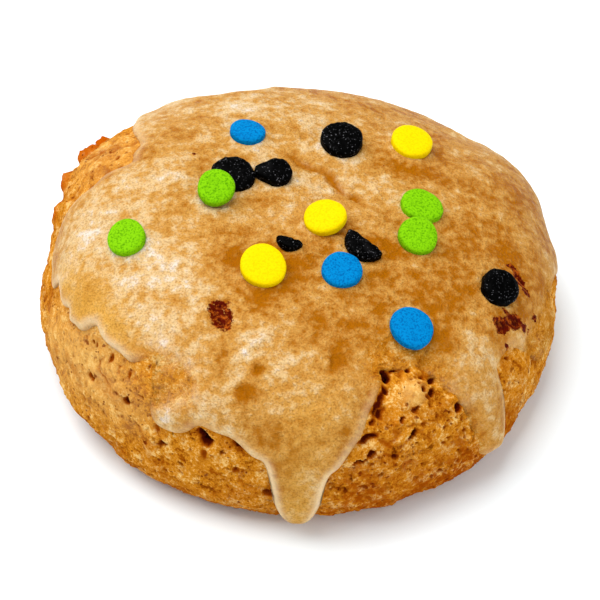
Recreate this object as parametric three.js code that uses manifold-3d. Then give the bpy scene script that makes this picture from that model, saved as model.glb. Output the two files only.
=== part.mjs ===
// A soft, round spice cookie: one domed body of baked dough with a craggy bare side and a flat base,
// under a thin poured icing that runs down it in drips and holds flat round sugar sprinkles.
// Millimetres, +Z up, with the origin under the middle of the cookie, on the surface that it rests on.
import * as THREE from 'three';
import { mergeVertices } from 'three/addons/utils/BufferGeometryUtils.js';
import Module from 'manifold-3d';

// Driving dimensions
const WIDTH = 62;
const HEIGHT = 23.4;
const WIDEST_HEIGHT = 6.5;
const BASE_UNDERCUT = 5;
const ICING_THICKNESS = 0.9;
const ICING_GAP = 0.3;
const SPRINKLE_HEIGHT = 1.5;
const SPRINKLE_SUNK = 0.4;

// The dome's section is a superellipse. Its round outline is pushed out towards a few directions, its
// left side stands higher, and its axis is set so that the cookie's box is centred on the origin.
const FULLNESS = 3;
const LOBES = [
  { turns: 2, swing: 0.026, towards: 9 },
  { turns: 3, swing: 0.032, towards: 35 },
  { turns: 4, swing: 0.0145, towards: 39 },
];
const LEAN = { x: -0.17, y: 0.046 };
const AXIS = { x: 0.11, y: 0.91 };

// A place on the skin is an azimuth in degrees, 0 at +X and -90 at the front, and a reach: 0 at the top
// of the dome, 1 at its widest line and 2 at the rim of its flat base.

// Broad swells and hollows of the dough, and the ragged flakes of crust at the back left
const SWELLS = [
  { azimuth: 18, reach: 0.74, half: 6, rise: -0.9 },
  { azimuth: 48, reach: 0.53, half: 9, rise: -1.1 },
  { azimuth: 132, reach: 0.53, half: 8, rise: -1 },
  { azimuth: -179, reach: 0.72, half: 7, rise: -2.1 },
  { azimuth: -176, reach: 1.03, half: 5, rise: 0.8 },
  { azimuth: -150, reach: 1.2, half: 6, rise: 0.2 },
  { azimuth: -62, reach: 1.2, half: 6, rise: -0.5 },
  { azimuth: -45, reach: 1.3, half: 4, rise: 0.3 },
];
const FLAKES = [
  { azimuth: 146, reach: 0.683, half: 1.3, rise: 0.7 },
  { azimuth: 150, reach: 0.69, half: 1.4, rise: 0.8 },
  { azimuth: 157, reach: 0.707, half: 1.2, rise: 0.8 },
  { azimuth: 160.5, reach: 0.716, half: 1.2, rise: 0.35 },
  { azimuth: 164, reach: 0.735, half: 1.4, rise: 0.4 },
  { azimuth: 167, reach: 0.755, half: 1.2, rise: 0.35 },
];

// Pits and cracks in the bare side: size across and down the side, depth, and turn from the level
const PITS = [
  { azimuth: -112, reach: 0.77, across: 1.6, down: 1.5, depth: 1.8 },
  { azimuth: -122, reach: 0.87, across: 3, down: 1, depth: 1.1, turn: 30 },
  { azimuth: -132, reach: 0.78, across: 1.3, down: 1.1, depth: 1.1 },
  { azimuth: -142, reach: 0.79, across: 1.3, down: 1.1, depth: 1 },
  { azimuth: -138, reach: 1, across: 1.4, down: 1.1, depth: 1 },
  { azimuth: -113, reach: 1.15, across: 3, down: 1, depth: 1 },
  { azimuth: -100, reach: 1.12, across: 1.4, down: 1.2, depth: 1 },
  { azimuth: -66, reach: 0.52, across: 1.4, down: 1.3, depth: 1.9 },
  { azimuth: -70, reach: 0.58, across: 1.2, down: 2.4, depth: 1.5 },
  { azimuth: -57, reach: 0.55, across: 2.4, down: 1.2, depth: 1.5, turn: -25 },
  { azimuth: -65, reach: 0.7, across: 1.9, down: 1.2, depth: 1.8, turn: 25 },
  { azimuth: -54, reach: 0.68, across: 1.3, down: 1.3, depth: 1.6 },
  { azimuth: -76, reach: 0.77, across: 3.4, down: 1, depth: 1.3, turn: 30 },
  { azimuth: -75, reach: 0.69, across: 2.6, down: 1, depth: 1.2, turn: 25 },
  { azimuth: -58, reach: 0.94, across: 3, down: 1, depth: 1, turn: 10 },
  { azimuth: -22, reach: 0.76, across: 1.1, down: 2.8, depth: 1.2 },
  { azimuth: -12, reach: 0.78, across: 1.1, down: 2.6, depth: 1.2 },
  { azimuth: -31, reach: 0.86, across: 1.2, down: 2, depth: 1 },
  { azimuth: 20, reach: 1.05, across: 2.6, down: 1.1, depth: 1 },
  { azimuth: 64, reach: 0.82, across: 1.5, down: 1.4, depth: 1.2 },
  { azimuth: 104, reach: 0.78, across: 2.8, down: 1.1, depth: 1.2, turn: -20 },
  { azimuth: 140, reach: 1.05, across: 1.6, down: 1.3, depth: 1 },
  { azimuth: 172, reach: 1.1, across: 2.4, down: 1, depth: 1 },
];

// The open crumb of the bare side: how deep it is, how wide its lumps are, and where it is craggier
const CRUMB_DEPTH = 0.6;
const CRUMB_LUMP = 3.4;
const CRUMB_LEVELS = { from: 0.35, to: 0.8, share: 0.7 };
const CRAG = { azimuth: -60, reach: 0.7, half: 7, rise: 0.2 };
const CRUMB_STARTS = { from: 0.38, to: 0.48 };
const CRUMB_ENDS = { from: 1.6, to: 1.95 };

// The base is flat inside its rim, which lifts a little off the surface between its resting places
const RESTING_PLACES = 12;
const RIM_LIFT = 0.4;
const BASE_SHARES = [0.1, 0.55];

// The icing's edge: its reach all round, and the runs and bays that lengthen or shorten it, each with
// a half-width in degrees
const EDGE_REACH = 0.58;
const RUNS = [
  { azimuth: 176, half: 9, further: 0.24 },
  { azimuth: -176, half: 6, further: 0.06 },
  { azimuth: -165, half: 9, further: 0.09 },
  { azimuth: -152.5, half: 4, further: 0.085 },
  { azimuth: -140, half: 9, further: 0.04 },
  { azimuth: -121, half: 6.5, further: 0.2 },
  { azimuth: -107, half: 8, further: 0.135 },
  { azimuth: -91, half: 10.5, further: 0.2 },
  { azimuth: -91, half: 5.3, further: 0.45 },
  { azimuth: -91, half: 4.2, further: 0.2 },
  { azimuth: -80, half: 5, further: 0.09 },
  { azimuth: -62.5, half: 9, further: -0.09 },
  { azimuth: -52, half: 4, further: 0.05 },
  { azimuth: -44.5, half: 5.6, further: 0.5 },
  { azimuth: -33, half: 9, further: 0.06 },
  { azimuth: -15, half: 9, further: 0.2 },
  { azimuth: 4, half: 12, further: 0.17 },
  { azimuth: 17, half: 11, further: 0.2 },
  { azimuth: 36, half: 10, further: 0.14 },
  { azimuth: 62, half: 11, further: 0.42 },
  { azimuth: 86, half: 10, further: 0.42 },
  { azimuth: 110, half: 10, further: -0.08 },
  { azimuth: 130, half: 6, further: 0.12 },
  { azimuth: 160, half: 17.5, further: -0.165 },
];
const RUN_SHOULDER = 4;
const EDGE_ROLL = 0.05;

// The icing is thicker where it pools at the foot of a drip, and dented over hollows of the dough
const ICING_SWELLS = [
  { azimuth: -91, reach: 1.2, half: 2.4, rise: 0.3 },
  { azimuth: -44, reach: 0.9, half: 3, rise: 0.2 },
  { azimuth: -150, reach: 0.64, half: 3, rise: 0.25 },
  { azimuth: -119, reach: 0.39, half: 1.4, rise: -0.55 },
  { azimuth: -80, reach: 0.45, half: 1.6, rise: -0.35 },
  { azimuth: -105, reach: 0.56, half: 1.8, rise: -0.35 },
  { azimuth: -24, reach: 0.57, half: 1.6, rise: -0.35 },
];
const ICING_UNEVEN = 0.3;
const ICING_LUMP = 7;

// Sprinkles by their plan place from the dome's axis; each may lean over towards an azimuth, and a
// broken one keeps only the half that lies towards an azimuth
const SPRINKLES = [
  { x: 13, y: 12.6, width: 5.2, lean: 8, towards: -90 },
  { x: 2.5, y: -2.8, width: 5, lean: 14, towards: -150 },
  { x: -4.6, y: -11.1, width: 5.4, lean: 12, towards: -90 },
  { x: -10.2, y: 0.2, width: 4.6, lean: 20, towards: -90 },
  { x: 13.9, y: 1.4, width: 5.1 },
  { x: 13.2, y: -3.9, width: 4.8, lean: 12, towards: -90 },
  { x: -20, y: -6.5, width: 4.6, lean: 8, towards: -90 },
  { x: -6.6, y: 11, width: 4.3 },
  { x: 4.4, y: -10.5, width: 4.8, lean: 6, towards: -90 },
  { x: 12.3, y: -16.7, width: 5.2 },
  { x: 4.6, y: 10.8, width: 5.2, lean: 8, towards: -90 },
  { x: -7.9, y: 2.8, width: 5.2, lean: 22, towards: 150 },
  { x: -3.1, y: 4, width: 4.3, lean: 10, towards: -60 },
  { x: 22.4, y: -8.2, width: 4.7, lean: 10, towards: -90 },
  { x: -1.5, y: -6.5, width: 3.1, half: -105 },
  { x: 7.4, y: -5.6, width: 5.4, half: -130 },
  { x: 14.4, y: 27.1, width: 4.8 },
  { x: 2, y: 28.6, width: 5 },
];
const SPRINKLE_SIDES = 10;

// Grid of each solid: its spokes and rings. The icing's upper rings lie at one reach all round, and the
// others at shares of the way from there to its edge.
const DOUGH_SPOKES = 132;
const COVERED_RINGS = 3;
const COVERED_REACH = 0.38;
const BARE_RINGS = 20;
const ICING_TOP_REACHES = [0.14, 0.26, 0.36];
const ICING_SHARES = [0.1, 0.2, 0.3, 0.4, 0.5, 0.6, 0.7, 0.8, 0.88, 0.94, 0.98];
const ICING_SPOKES = 86;
const EDGE_WALK = 3600;

const radians = THREE.MathUtils.degToRad;
const smoothstep = THREE.MathUtils.smoothstep;
const wasm = await Module();
wasm.setup();

// Radius of the dome's widest line in a direction
function outline(azimuth) {
  let share = 1;
  for (const { turns, swing, towards } of LOBES) {
    share += swing * Math.cos(turns * radians(azimuth - towards));
  }
  return (WIDTH / 2) * share;
}

// Point of the plain dome, a quarter superellipse above the widest line and a quarter ellipse below
function dome(azimuth, reach) {
  const upper = (Math.min(reach, 1) * Math.PI) / 2;
  const lower = (Math.max(reach - 1, 0) * Math.PI) / 2;
  const sine = Math.sin(upper);
  const cosine = Math.max(Math.cos(upper), 0);
  const fill = (sine ** FULLNESS + cosine ** FULLNESS) ** (-1 / FULLNESS);
  const out = outline(azimuth) * sine * fill - BASE_UNDERCUT * (1 - Math.cos(lower));
  const crown = (HEIGHT - WIDEST_HEIGHT) * cosine * fill;
  const foot = WIDEST_HEIGHT * (1 - Math.sin(lower));
  const x = out * Math.cos(radians(azimuth));
  const y = out * Math.sin(radians(azimuth));
  const tilt = 1 + (LEAN.x * x + LEAN.y * y) / (WIDTH / 2);
  return new THREE.Vector3(AXIS.x + x, AXIS.y + y, (crown + foot) * tilt);
}

// Unit vectors at a place of the dome: round it, down its side and out of it
function directions(azimuth, reach) {
  const turn = 0.05;
  const step = 0.002;
  const middle = THREE.MathUtils.clamp(reach, 2 * step, 2 - 2 * step);
  const round = dome(azimuth + turn, middle).sub(dome(azimuth - turn, middle)).normalize();
  const down = dome(azimuth, middle + step).sub(dome(azimuth, middle - step)).normalize();
  const out = new THREE.Vector3().crossVectors(down, round).normalize();
  return { round, down, out };
}

// Sum of soft round bumps or hollows at a point
function bumps(list, point) {
  let sum = 0;
  for (const { azimuth, reach, half, rise } of list) {
    const away = point.distanceTo(dome(azimuth, reach)) / half;
    sum += rise * Math.exp(-away * away);
  }
  return sum;
}

// Smooth noise from 0 to 1: values at the corners of a unit lattice, eased between them
function corner(i, j, k) {
  const wave = Math.sin(i * 127.1 + j * 311.7 + k * 74.7) * 43758.5453;
  return wave - Math.floor(wave);
}

function noise(point, lump) {
  const cell = point.clone().divideScalar(lump).floor();
  const share = point.clone().divideScalar(lump).sub(cell);
  let sum = 0;
  for (let i = 0; i <= 1; i++) {
    for (let j = 0; j <= 1; j++) {
      for (let k = 0; k <= 1; k++) {
        const gaps = [share.x - i, share.y - j, share.z - k];
        const [u, v, w] = gaps.map((gap) => smoothstep(1 - Math.abs(gap), 0, 1));
        sum += u * v * w * corner(cell.x + i, cell.y + j, cell.z + k);
      }
    }
  }
  return sum;
}

// Depth of the pits and cracks at a point
function pitDepth(point) {
  let depth = 0;
  for (const pit of PITS) {
    const { round, down } = directions(pit.azimuth, pit.reach);
    const away = point.clone().sub(dome(pit.azimuth, pit.reach));
    const turn = radians(pit.turn ?? 0);
    const across = away.dot(round) * Math.cos(turn) - away.dot(down) * Math.sin(turn);
    const along = away.dot(round) * Math.sin(turn) + away.dot(down) * Math.cos(turn);
    depth += pit.depth * Math.exp(-((across / pit.across) ** 2) - (along / pit.down) ** 2);
  }
  return depth;
}

// Depth of the open crumb at a point: only the lattice's lower half sinks, so that lumps stay proud
function crumbDepth(point) {
  const { from, to, share } = CRUMB_LEVELS;
  const coarse = smoothstep(noise(point, CRUMB_LUMP), from, to);
  const fine = noise(point, CRUMB_LUMP / 2);
  const craggier = 1 + bumps([CRAG], point);
  return CRUMB_DEPTH * craggier * THREE.MathUtils.lerp(fine, coarse, share);
}

// Reach of the icing's edge in a direction
function edgeReach(azimuth) {
  let reach = EDGE_REACH;
  for (const run of RUNS) {
    const turned = THREE.MathUtils.euclideanModulo(azimuth - run.azimuth + 180, 360) - 180;
    reach += run.further * Math.exp(-(Math.abs(turned / run.half) ** RUN_SHOULDER));
  }
  return reach;
}

// Point of the dough's smooth skin, moved out along the dome's normal; its swells end at the base
function skin(azimuth, reach, lift) {
  const point = dome(azimuth, reach);
  const swell = bumps(SWELLS, point) * (1 - smoothstep(reach, CRUMB_ENDS.from, CRUMB_ENDS.to));
  return point.addScaledVector(directions(azimuth, reach).out, swell + lift);
}

// Point of the dough's bare, craggy skin, which smooths out under the icing and at the base
function bareSkin(azimuth, reach) {
  const point = dome(azimuth, reach);
  const starts = smoothstep(reach, CRUMB_STARTS.from, CRUMB_STARTS.to);
  const ends = smoothstep(reach, CRUMB_ENDS.from, CRUMB_ENDS.to);
  const relief = bumps(FLAKES, point) - pitDepth(point) - crumbDepth(point);
  return skin(azimuth, reach, relief * starts * (1 - ends));
}

// Closed surface from a top point, rings that run round, and a bottom point; each four-sided patch is
// split along its shorter diagonal
function closedSurface(top, rings, bottom) {
  const points = [top, ...rings.flat(), bottom];
  const spokes = rings[0].length;
  const last = points.length - 1;
  const index = [];
  for (let i = 0; i < spokes; i++) {
    const next = (i + 1) % spokes;
    index.push(0, 1 + i, 1 + next);
    for (let ring = 0; ring < rings.length - 1; ring++) {
      const [a, d] = [1 + ring * spokes + i, 1 + ring * spokes + next];
      const [b, c] = [a + spokes, d + spokes];
      if (points[a].distanceTo(points[c]) < points[b].distanceTo(points[d])) {
        index.push(a, b, c, a, c, d);
      } else {
        index.push(a, b, d, b, c, d);
      }
    }
    const rim = 1 + (rings.length - 1) * spokes;
    index.push(rim + i, last, rim + next);
  }
  const geometry = new THREE.BufferGeometry().setFromPoints(points);
  geometry.setIndex(index);
  return geometry;
}

// Even steps from one value to another, without the first
function steps(from, to, count) {
  return Array.from({ length: count }, (_, i) => THREE.MathUtils.lerp(from, to, (i + 1) / count));
}

// The dough: smooth rings under the icing, close craggy rings down the bare side, a flat base
function doughGeometry() {
  const azimuths = steps(-180, 180, DOUGH_SPOKES);
  const reaches = [...steps(0, COVERED_REACH, COVERED_RINGS), ...steps(COVERED_REACH, 2, BARE_RINGS)];
  const rings = reaches.map((reach) => azimuths.map((azimuth) => bareSkin(azimuth, reach)));
  const centre = new THREE.Vector3(AXIS.x, AXIS.y, 0);
  const rim = rings[rings.length - 1];
  for (const share of BASE_SHARES) {
    rings.push(rim.map((point) => point.clone().lerp(centre, share)));
  }
  azimuths.forEach((azimuth, spoke) => {
    rim[spoke].z += (RIM_LIFT * (1 - Math.cos(RESTING_PLACES * radians(azimuth)))) / 2;
  });
  return closedSurface(skin(0, 0, 0), rings, centre);
}

// Azimuths of the icing's spokes: even steps along its edge, so that they crowd at the sides of drips
function icingAzimuths() {
  const walk = steps(-180, 180, EDGE_WALK);
  const edge = walk.map((azimuth) => dome(azimuth, edgeReach(azimuth)));
  let length = 0;
  const walked = edge.map((point, i) => {
    length += point.distanceTo(edge.at(i - 1));
    return length;
  });
  const spoke = walked.map((distance) => Math.floor((distance / length) * ICING_SPOKES));
  return walk.filter((_, i) => spoke[i] > spoke.at(i - 1));
}

// Point of the icing's outer skin, which rolls down to nothing at the edge
function icingPoint(azimuth, reach) {
  const point = dome(azimuth, reach);
  const roll = 1 - Math.min((edgeReach(azimuth) - reach) / EDGE_ROLL, 1);
  const uneven = ICING_UNEVEN * (noise(point, ICING_LUMP) - 0.5);
  const thickness = ICING_THICKNESS + uneven + bumps(ICING_SWELLS, point);
  return skin(azimuth, reach, ICING_GAP + thickness * Math.sqrt(1 - roll * roll));
}

// Reaches of the icing's rings in a direction, from the top to just short of the edge
function icingReaches(azimuth) {
  const last = ICING_TOP_REACHES[ICING_TOP_REACHES.length - 1];
  const towardsEdge = ICING_SHARES.map((share) => THREE.MathUtils.lerp(last, edgeReach(azimuth), share));
  return [...ICING_TOP_REACHES, ...towardsEdge];
}

// The poured icing: a shell with an outer skin, a thin rounded edge and an underside just off the dough
function icingGeometry() {
  const azimuths = icingAzimuths();
  const reaches = azimuths.map(icingReaches);
  const ringCount = reaches[0].length;
  const outer = [];
  const under = [];
  for (let ring = 0; ring < ringCount; ring++) {
    outer.push(azimuths.map((azimuth, spoke) => icingPoint(azimuth, reaches[spoke][ring])));
    under.unshift(azimuths.map((azimuth, spoke) => skin(azimuth, reaches[spoke][ring], ICING_GAP)));
  }
  const edge = azimuths.map((azimuth) => skin(azimuth, edgeReach(azimuth), ICING_GAP));
  return closedSurface(icingPoint(0, 0), [...outer, edge, ...under], skin(0, 0, ICING_GAP));
}

// Flat round sugar sprinkle with an eased upper rim, its underside at the origin
function sprinkleGeometry({ width }) {
  const radius = width / 2;
  const profile = [
    new THREE.Vector2(0, 0),
    new THREE.Vector2(radius, 0),
    new THREE.Vector2(radius, SPRINKLE_HEIGHT * 0.7),
    new THREE.Vector2(radius * 0.8, SPRINKLE_HEIGHT),
    new THREE.Vector2(0, SPRINKLE_HEIGHT),
  ];
  return new THREE.LatheGeometry(profile, SPRINKLE_SIDES).rotateX(Math.PI / 2);
}

// Solid of a closed geometry, with shared vertices merged and collapsed triangles dropped
function solidOf(geometry) {
  geometry.deleteAttribute('normal');
  geometry.deleteAttribute('uv');
  const merged = mergeVertices(geometry, 1e-4);
  const kept = [];
  const index = merged.index.array;
  for (let i = 0; i < index.length; i += 3) {
    const [a, b, c] = index.slice(i, i + 3);
    if (a !== b && b !== c && c !== a) {
      kept.push(a, b, c);
    }
  }
  const vertProperties = new Float32Array(merged.attributes.position.array);
  return new wasm.Manifold(new wasm.Mesh({ numProp: 3, vertProperties, triVerts: new Uint32Array(kept) }));
}

// Geometry of a solid
function geometryOf(solid) {
  const { vertProperties, triVerts } = solid.getMesh();
  const geometry = new THREE.BufferGeometry();
  geometry.setAttribute('position', new THREE.BufferAttribute(new Float32Array(vertProperties), 3));
  geometry.setIndex(new THREE.BufferAttribute(new Uint32Array(triVerts), 1));
  return geometry;
}

// A sprinkle where it lies on the icing, leaning as it does, and cut in half if it is a broken one
function sprinkleSolid(sprinkle) {
  const azimuth = THREE.MathUtils.radToDeg(Math.atan2(sprinkle.y, sprinkle.x));
  const outward = Math.hypot(sprinkle.x, sprinkle.y) / outline(azimuth);
  const rise = (1 - outward ** FULLNESS) ** (1 / FULLNESS);
  const reach = (Math.atan2(outward, rise) * 2) / Math.PI;
  const foot = icingPoint(azimuth, reach);
  const { out } = directions(azimuth, reach);
  const lean = radians(sprinkle.lean ?? 0);
  const towards = radians(sprinkle.towards ?? 0);
  const sideways = new THREE.Vector3(Math.cos(towards), Math.sin(towards), 0);
  const axis = out.clone().addScaledVector(sideways, Math.tan(lean)).normalize();
  const turned = new THREE.Quaternion().setFromUnitVectors(new THREE.Vector3(0, 0, 1), axis);
  const lift = (Math.sin(lean) * sprinkle.width) / 2;
  const place = new THREE.Matrix4().compose(
    foot.addScaledVector(out, lift - SPRINKLE_SUNK), turned, new THREE.Vector3(1, 1, 1),
  );
  const solid = solidOf(sprinkleGeometry(sprinkle).applyMatrix4(place));
  if (sprinkle.half === undefined) {
    return solid;
  }
  const side = sprinkle.width * 2;
  const box = new THREE.BoxGeometry(side, side, side).translate(-side / 2, 0, 0);
  return solid.subtract(solidOf(box.rotateZ(radians(sprinkle.half)).applyMatrix4(place)));
}

// The icing with its sprinkles fused on
function icingWithSprinkles() {
  let solid = solidOf(icingGeometry());
  for (const sprinkle of SPRINKLES) {
    solid = solid.add(sprinkleSolid(sprinkle));
  }
  return geometryOf(solid);
}

function node(name, geometry, color, roughness) {
  const material = new THREE.MeshStandardMaterial({ color, roughness, metalness: 0 });
  const mesh = new THREE.Mesh(geometry, material);
  mesh.name = name;
  return mesh;
}

const group = new THREE.Group();
group.name = 'spice_cookie';
group.add(node('cookie', doughGeometry(), 0xbf8a4a, 0.85));
group.add(node('icing', icingWithSprinkles(), 0xd9ae72, 0.4));

export default group;
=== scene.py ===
"""A soft spice cookie under a poured glaze with sugar sprinkles, modelled over its solids.

Lengths are in millimetres until a mesh is made. A place on the cookie is an azimuth in degrees, 0 at
+X and -90 at the front, and a reach: 0 at the top of the dome, 1 at its widest line and 2 at the rim
of its flat base.
"""

import math

import bpy
import numpy as np
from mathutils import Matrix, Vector


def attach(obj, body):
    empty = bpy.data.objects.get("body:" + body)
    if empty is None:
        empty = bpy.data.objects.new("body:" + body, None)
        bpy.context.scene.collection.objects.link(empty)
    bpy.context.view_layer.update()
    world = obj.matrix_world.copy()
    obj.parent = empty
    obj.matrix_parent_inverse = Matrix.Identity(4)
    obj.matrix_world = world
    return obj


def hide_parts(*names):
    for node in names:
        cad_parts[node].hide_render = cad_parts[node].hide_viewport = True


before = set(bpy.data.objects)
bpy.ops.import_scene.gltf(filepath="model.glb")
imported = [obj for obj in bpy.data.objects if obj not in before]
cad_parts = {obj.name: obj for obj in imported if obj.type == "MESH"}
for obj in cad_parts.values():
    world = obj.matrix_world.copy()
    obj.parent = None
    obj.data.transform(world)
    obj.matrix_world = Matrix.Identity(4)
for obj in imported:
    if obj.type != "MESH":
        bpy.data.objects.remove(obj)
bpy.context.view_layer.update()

# The dough
# One piece of soft spiced dough, baked on a flat tray into a low dome. Where no glaze covers it, its
# crust is golden and open, with burst bubbles, cracks and ragged flakes, and it is browner at the foot.

MM = 0.001
WIDTH = 62.0
HEIGHT = 23.4
WIDEST_HEIGHT = 6.5
BASE_UNDERCUT = 5.0
FULLNESS = 3.0

# Lobes of the outline (waves in a turn, share of the radius, azimuth), how much higher the dome gets
# towards +X and +Y, and the plan place of its axis
LOBES = ((2, 0.026, 9), (3, 0.032, 35), (4, 0.0145, 39))
LEAN = (-0.17, 0.046)
AXIS = (0.11, 0.91)

# Swells and hollows, pale lumps of crumb, then crust that is pale, craggier, or darker with painted
# shade on the lower front right, without being raised: azimuth, reach, half-width, rise or strength
SWELLS = (
    (-179, 0.72, 7, -2.1), (-150, 1.2, 6, 0.2), (-62, 1.2, 6, -0.5), (-45, 1.3, 4, 0.3),
    (18, 0.74, 6, -0.9), (48, 0.53, 9, -1.1), (132, 0.53, 8, -1.0), (178, 1.03, 4.5, 0.8),
)
LUMPS = ((-92, 0.95, 1.5, 0.3), (-66, 0.83, 1.4, 0.3), (-61.5, 0.56, 1.7, 0.7))
PALE_CRUST = ((-165, 0.95, 6, 0.5), (-147, 0.74, 8, 0.7), (-130, 0.8, 5, 0.35), (155, 0.52, 8, 0.55))
CRAG = ((-60, 0.7, 7, 0.2),)
# Painted shade: the lower front right of the crust is darkened to brown in colour
FRONT_RIGHT_SHADE = ((-79, 0.9, 3, 0.3), (-75, 1.3, 7, 0.4), (-55, 1.2, 5, 0.6), (-39, 1.1, 5, 0.6))

# Flakes of crust, then pits and cracks: azimuth, reach, half-width across, half-width down, rise or
# depth, turn from the level
FLAKES = (
    (143.5, 0.68, 1.0, 0.9, 1.15, 0), (148.3, 0.687, 1.6, 1.1, 1.2, 0), (158, 0.71, 1.4, 1.1, 0.85, 0),
    (166, 0.745, 1.7, 1.0, 0.5, 0),
)
PITS = (
    # front left
    (-154, 0.864, 0.28, 0.28, 0.7, 0), (-150, 1.07, 0.25, 0.4, 0.6, 0), (-145, 0.663, 0.2, 0.2, 0.5, 0),
    (-144, 0.798, 0.35, 0.5, 0.8, 20), (-140, 0.66, 0.32, 1.0, 0.45, 0),
    (-139, 0.914, 0.35, 0.2, 0.7, -15), (-133.5, 0.66, 0.3, 0.45, 0.45, 0),
    (-132.5, 0.764, 0.5, 0.5, 1.0, -25), (-131, 0.823, 0.25, 0.25, 0.5, 0),
    (-124, 0.817, 0.6, 0.45, 0.4, 0), (-122, 0.871, 0.95, 0.25, 0.8, 28),
    (-121.5, 1.07, 0.25, 0.3, 0.5, 0), (-120.5, 0.955, 0.2, 0.2, 0.4, 0),
    (-119.5, 1.13, 0.2, 0.2, 0.4, 0), (-117.5, 0.936, 0.45, 0.35, 0.6, 0),
    (-117.5, 0.98, 0.25, 0.2, 0.5, 0),
    # either side of the long drip
    (-112, 0.755, 1.1, 0.65, 1.6, -42), (-112, 0.833, 0.5, 0.9, 0.45, 0),
    (-111.5, 1.106, 1.3, 0.28, 0.7, -12), (-108, 0.802, 0.35, 0.25, 0.6, 0),
    (-104.5, 0.742, 0.8, 0.45, 0.9, -35), (-104.5, 0.88, 0.45, 0.4, 0.5, 0),
    (-97, 0.98, 0.9, 0.6, 0.6, 0), (-84.5, 1.04, 0.6, 0.2, 0.6, 0), (-82.5, 0.933, 1.1, 0.14, 0.5, 0),
    # bay at the front right
    (-81, 0.958, 0.35, 0.22, 0.6, 0), (-79.5, 0.874, 0.3, 0.25, 0.7, 0), (-77, 0.773, 1.0, 0.2, 0.8, 25),
    (-76.5, 0.936, 0.5, 0.2, 0.6, 10), (-75, 0.676, 1.35, 0.35, 0.9, 20),
    (-74.5, 0.742, 0.42, 0.38, 0.8, 0), (-73.5, 0.619, 0.28, 0.38, 0.7, 0),
    (-73, 0.867, 0.4, 0.22, 0.6, 15), (-71, 0.591, 0.75, 0.38, 0.9, 40),
    (-70.5, 0.56, 0.28, 1.9, 0.8, -40), (-69.5, 0.745, 0.2, 0.18, 0.4, 0),
    (-69.5, 0.773, 0.28, 0.25, 0.7, 0), (-68.5, 0.855, 0.28, 0.2, 0.5, 0),
    (-67.8, 0.53, 0.3, 0.6, 0.9, 0), (-67, 0.494, 0.6, 0.6, 1.7, 0), (-66.5, 0.635, 0.5, 0.28, 0.7, 22),
    (-65.5, 0.827, 0.35, 0.2, 0.6, 25), (-64.5, 0.701, 0.75, 0.32, 1.5, 38),
    (-64, 0.984, 0.3, 0.2, 0.6, 25), (-63.5, 0.488, 0.8, 0.25, 0.7, 5), (-62.5, 0.908, 0.25, 0.2, 0.6, 0),
    (-62, 0.607, 0.75, 0.2, 0.7, 22), (-61, 0.667, 0.75, 0.15, 0.5, 25),
    (-60.5, 0.789, 0.3, 0.2, 0.6, 20), (-60, 0.494, 0.45, 0.35, 0.8, 0), (-59, 0.921, 0.3, 0.25, 0.4, 0),
    (-58.5, 0.557, 0.28, 0.32, 0.7, 0), (-58.5, 0.61, 0.2, 0.28, 0.5, 0), (-58, 0.585, 0.4, 0.38, 0.5, 0),
    (-57.5, 0.522, 0.25, 0.25, 0.6, 0), (-57.5, 0.936, 0.45, 0.2, 0.6, 25),
    (-56.5, 0.576, 0.4, 0.35, 0.9, 0), (-56.5, 0.72, 0.28, 0.28, 0.6, 0),
    (-56.5, 0.82, 0.3, 0.25, 0.5, 0), (-55.5, 0.547, 0.5, 0.38, 0.9, 0), (-53.5, 0.9, 0.25, 0.25, 0.6, 0),
    (-52, 0.949, 0.8, 0.15, 0.4, 22), (-51.5, 0.673, 0.58, 0.58, 1.4, 0),
    (-50.8, 0.72, 0.25, 0.5, 0.7, -30), (-50.5, 0.802, 0.25, 0.25, 0.5, 0),
    (-49.5, 0.88, 0.65, 0.15, 0.6, 28),
    # right
    (-37.5, 0.726, 0.35, 0.22, 0.7, 0), (-31, 0.66, 0.22, 0.5, 0.7, 0), (-23, 0.805, 0.4, 0.6, 0.8, 10),
    (-21, 0.676, 0.2, 0.5, 0.7, 0), (-21, 0.858, 0.3, 0.45, 0.6, -15), (-17, 0.667, 0.25, 0.75, 0.8, 0),
    (-3.5, 0.723, 0.2, 1.3, 0.6, 0), (20, 1.05, 1.6, 0.35, 0.9, 0),
    # back
    (48, 0.95, 1.2, 0.3, 0.9, 25), (64, 0.82, 0.7, 0.6, 1.2, 0), (78, 1.1, 1.6, 0.3, 0.8, -8),
    (95, 0.95, 0.5, 0.45, 0.9, 0), (104, 0.78, 1.5, 0.4, 1.1, -20), (112, 0.66, 0.5, 0.4, 1.0, 0),
    (124, 0.84, 0.5, 0.9, 0.9, 15), (140, 1.05, 0.8, 0.4, 0.9, 0),
    # crag at the left
    (149.5, 0.494, 0.3, 0.22, 0.6, -20), (154, 0.494, 0.32, 0.26, 0.7, -20),
    (154, 0.538, 0.32, 0.24, 0.7, -20), (156.5, 0.547, 0.35, 0.3, 0.7, 0),
    (157, 0.466, 0.5, 0.25, 0.7, -20), (161, 0.472, 0.32, 0.22, 0.6, 0), (161, 0.506, 0.28, 0.22, 0.6, 0),
    (162.5, 0.437, 0.4, 0.3, 0.9, 0), (164, 0.525, 0.28, 0.22, 0.6, 0),
    (165.5, 0.472, 0.32, 0.22, 0.6, -20), (167.5, 0.488, 0.38, 0.22, 0.7, -30),
    (167.5, 0.525, 0.3, 0.22, 0.6, -30), (170, 0.506, 0.32, 0.22, 0.7, -30),
    (172, 0.535, 0.38, 0.22, 0.7, -30), (172, 1.1, 1.3, 0.35, 0.8, 0),
)

# Lumps of the noise that makes the outlines of pits and flakes ragged, how far it pushes them, how far
# a pit counts through the skin, and the lumps of a flake's torn face
PIT_LUMP = 0.7
PIT_RAGGED = 0.34
PIT_THROUGH = 3.0
FLAKE_LUMP = 0.55

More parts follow.
